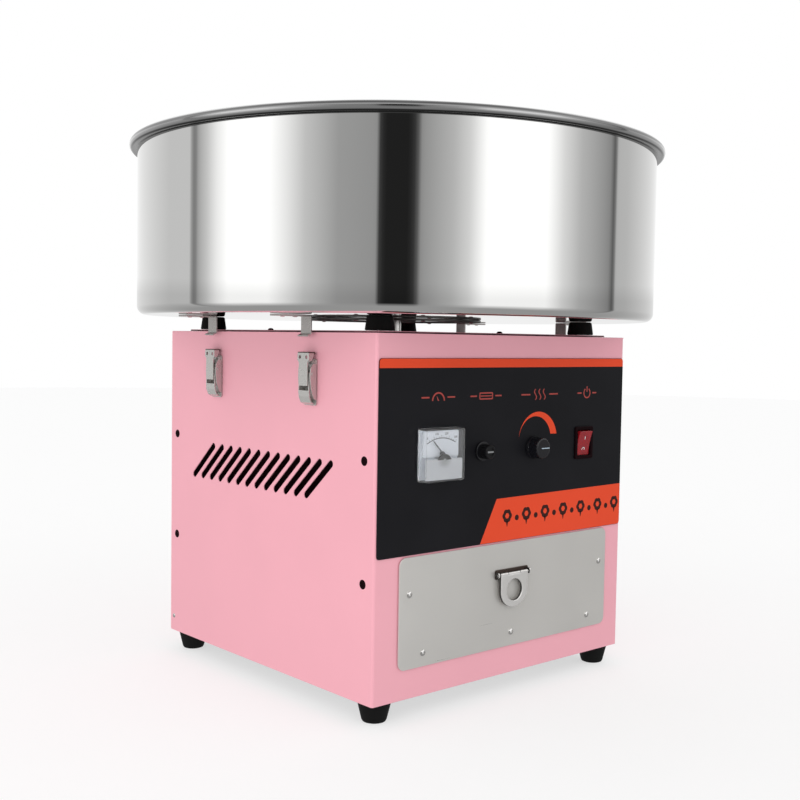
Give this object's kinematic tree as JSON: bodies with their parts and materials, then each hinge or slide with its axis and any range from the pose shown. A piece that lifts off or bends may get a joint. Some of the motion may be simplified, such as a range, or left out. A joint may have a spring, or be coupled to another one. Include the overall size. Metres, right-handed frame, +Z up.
{
  "type": "cotton candy machine",
  "caption": "Counter-top cotton candy machine: large round steel pan over a pink cabinet, with a heated spinner head, control panel, draw latches and a sugar drawer.",
  "frame": {"origin": "on the floor, under the middle of the pan and of the cabinet", "axes": "+Z up; the control panel and drawer face -Y; +X is to the right of someone facing the panel"},
  "size_m": [0.52, 0.52, 0.504],
  "materials": {
    "pink_paint": "light pink powder coat, satin",
    "brushed_steel": "brushed stainless sheet",
    "polished_steel": "mirror polished stainless",
    "aluminium": "spun and cast aluminium",
    "zinc": "zinc plated steel",
    "copper": "copper and resistance alloy",
    "rubber": "black moulded rubber",
    "black_plastic": "black moulded plastic",
    "panel_print": "printed panel plate, black with an orange stripe and badge",
    "white_plastic": "white printed meter face",
    "clear_plastic": "clear moulded acrylic",
    "red_plastic": "translucent red plastic"
  },
  "bodies": {
    "cabinet": {"cabinet_wrap": "pink_paint", "rear_panel": "pink_paint", "base_plate": "zinc", "top_deck": "pink_paint", "foot_front_left": "rubber", "foot_front_right": "rubber", "foot_rear_right": "rubber", "foot_rear_left": "rubber", "bumper_front_left": "rubber", "bumper_front_right": "rubber", "bumper_rear_right": "rubber", "bumper_rear_left": "rubber", "cord_gland": "black_plastic", "latch_base_front_left": "brushed_steel", "latch_base_front_right": "brushed_steel", "latch_base_rear_right": "brushed_steel", "latch_base_rear_left": "brushed_steel", "control_panel": "panel_print", "voltmeter_case": "black_plastic", "voltmeter_dial": "white_plastic", "voltmeter_cover": "clear_plastic", "fuse_holder": "black_plastic", "heat_control": "zinc", "switch_body": "black_plastic", "drawer_runner_left": "zinc", "drawer_runner_right": "zinc", "motor_body": "zinc", "motor_bracket": "zinc", "brush_holder": "black_plastic"},
    "pan": {"pan": "polished_steel", "pan_hub_ring": "zinc", "pan_hook_front_left": "brushed_steel", "pan_hook_front_right": "brushed_steel", "pan_hook_rear_right": "brushed_steel", "pan_hook_rear_left": "brushed_steel"},
    "spinner": {"motor_shaft": "brushed_steel", "cooling_fan": "black_plastic", "slip_ring_hub": "copper", "spinner_base": "aluminium", "heating_element": "copper", "spinner_band": "aluminium", "spinner_cap": "aluminium"},
    "drawer": {"drawer_front": "brushed_steel", "drawer_tray": "brushed_steel", "handle_bracket": "brushed_steel"},
    "handle": {"handle_ring": "brushed_steel"},
    "knob": {"control_knob": "black_plastic", "control_shaft": "aluminium"},
    "rocker": {"switch_rocker": "red_plastic"},
    "needle": {"voltmeter_needle": "black_plastic"},
    "fuse": {"fuse_cap": "black_plastic", "fuse_cartridge": "clear_plastic"},
    "lever_front_left": {"latch_lever_front_left": "brushed_steel"},
    "claw_front_left": {"latch_claw_front_left": "brushed_steel"},
    "lever_front_right": {"latch_lever_front_right": "brushed_steel"},
    "claw_front_right": {"latch_claw_front_right": "brushed_steel"},
    "lever_rear_right": {"latch_lever_rear_right": "brushed_steel"},
    "claw_rear_right": {"latch_claw_rear_right": "brushed_steel"},
    "lever_rear_left": {"latch_lever_rear_left": "brushed_steel"},
    "claw_rear_left": {"latch_claw_rear_left": "brushed_steel"}
  },
  "joints": [
    {"name": "pan_lift", "type": "slide", "parent": "cabinet", "child": "pan", "axis": [0, 0, 1], "range_m": [0, 0.15]},
    {"name": "spinner_spin", "type": "hinge", "parent": "cabinet", "child": "spinner", "pos_m": [0, 0, 0.3], "axis": [0, 0, 1], "continuous": true},
    {"name": "drawer_slide", "type": "slide", "parent": "cabinet", "child": "drawer", "axis": [0, -1, 0], "range_m": [0, 0.17]},
    {"name": "handle_swing", "type": "hinge", "parent": "drawer", "child": "handle", "pos_m": [0.0015, -0.1668, 0.1103], "axis": [-1, 0, 0], "range_deg": [0, 95]},
    {"name": "knob_turn", "type": "hinge", "parent": "cabinet", "child": "knob", "pos_m": [0.028, -0.17, 0.223], "axis": [0, 1, 0], "range_deg": [-135, 135]},
    {"name": "rocker_tilt", "type": "hinge", "parent": "cabinet", "child": "rocker", "pos_m": [0.0992, -0.162, 0.224], "axis": [1, 0, 0], "range_deg": [-24, 0]},
    {"name": "needle_swing", "type": "hinge", "parent": "cabinet", "child": "needle", "pos_m": [-0.0923, -0.169, 0.2244], "axis": [0, 1, 0], "range_deg": [0, 90], "stiffness_Nm_per_rad": 0.0002, "springref_deg": -28.65},
    {"name": "fuse_pull", "type": "slide", "parent": "cabinet", "child": "fuse", "axis": [0, -1, 0], "range_m": [0, 0.03]},
    {"name": "lever_swing_front_left", "type": "hinge", "parent": "cabinet", "child": "lever_front_left", "pos_m": [-0.165, -0.075, 0.289], "axis": [0, 1, 0], "range_deg": [0, 110]},
    {"name": "claw_swing_front_left", "type": "hinge", "parent": "lever_front_left", "child": "claw_front_left", "pos_m": [-0.1655, -0.075, 0.281], "axis": [0, 1, 0], "range_deg": [-110, 0]},
    {"name": "lever_swing_front_right", "type": "hinge", "parent": "cabinet", "child": "lever_front_right", "pos_m": [0.165, -0.075, 0.289], "axis": [0, -1, 0], "range_deg": [0, 110]},
    {"name": "claw_swing_front_right", "type": "hinge", "parent": "lever_front_right", "child": "claw_front_right", "pos_m": [0.1655, -0.075, 0.281], "axis": [0, -1, 0], "range_deg": [-110, 0]},
    {"name": "lever_swing_rear_right", "type": "hinge", "parent": "cabinet", "child": "lever_rear_right", "pos_m": [0.165, 0.075, 0.289], "axis": [0, -1, 0], "range_deg": [0, 110]},
    {"name": "claw_swing_rear_right", "type": "hinge", "parent": "lever_rear_right", "child": "claw_rear_right", "pos_m": [0.1655, 0.075, 0.281], "axis": [0, -1, 0], "range_deg": [-110, 0]},
    {"name": "lever_swing_rear_left", "type": "hinge", "parent": "cabinet", "child": "lever_rear_left", "pos_m": [-0.165, 0.075, 0.289], "axis": [0, 1, 0], "range_deg": [0, 110]},
    {"name": "claw_swing_rear_left", "type": "hinge", "parent": "lever_rear_left", "child": "claw_rear_left", "pos_m": [-0.1655, 0.075, 0.281], "axis": [0, 1, 0], "range_deg": [-110, 0]}
  ],
  "couplings": [
    {"joint": "claw_swing_front_left", "follows": "lever_swing_front_left", "ratio": -1},
    {"joint": "claw_swing_front_right", "follows": "lever_swing_front_right", "ratio": -1},
    {"joint": "claw_swing_rear_right", "follows": "lever_swing_rear_right", "ratio": -1},
    {"joint": "claw_swing_rear_left", "follows": "lever_swing_rear_left", "ratio": -1}
  ]
}
